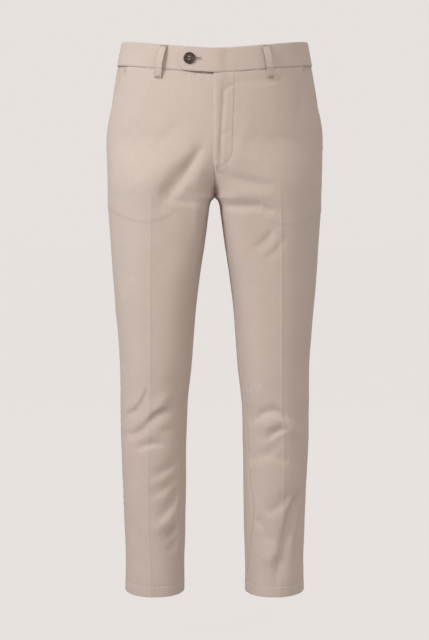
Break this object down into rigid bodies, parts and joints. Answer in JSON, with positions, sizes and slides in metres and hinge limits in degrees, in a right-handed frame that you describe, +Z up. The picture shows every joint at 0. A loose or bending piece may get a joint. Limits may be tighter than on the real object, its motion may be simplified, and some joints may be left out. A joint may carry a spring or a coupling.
{
  "type": "linen trousers",
  "caption": "Slim straight trousers with a flat front, pressed creases, slanted side pockets, belt loops and a buttoned waistband extension, hollow and held open as when worn.",
  "frame": {"origin": "centre of the waist opening, level with the band's upper edge at the side seams, where the wearer's waist holds the garment", "axes": "+Z up towards the waist, -Y out of the front, +X towards the wearer's left"},
  "size_m": [0.3874, 0.2583, 0.9881],
  "materials": {
    "cloth": "matt sand-beige linen twill, softly pressed",
    "horn": "dark brown mottled horn, semi-gloss",
    "thread": "matt beige sewing thread"
  },
  "bodies": {
    "root": {"front_right": "cloth", "front_left": "cloth", "back_right": "cloth", "back_left": "cloth", "pocket_facing_right": "cloth", "pocket_facing_left": "cloth", "waistband_right": "cloth", "waistband_left": "cloth", "belt_loop_front_right": "cloth", "belt_loop_front_left": "cloth", "belt_loop_back_right": "cloth", "belt_loop_back_left": "cloth", "belt_loop_centre_back": "cloth", "button": "horn", "button_shank": "thread"}
  },
  "joints": []
}
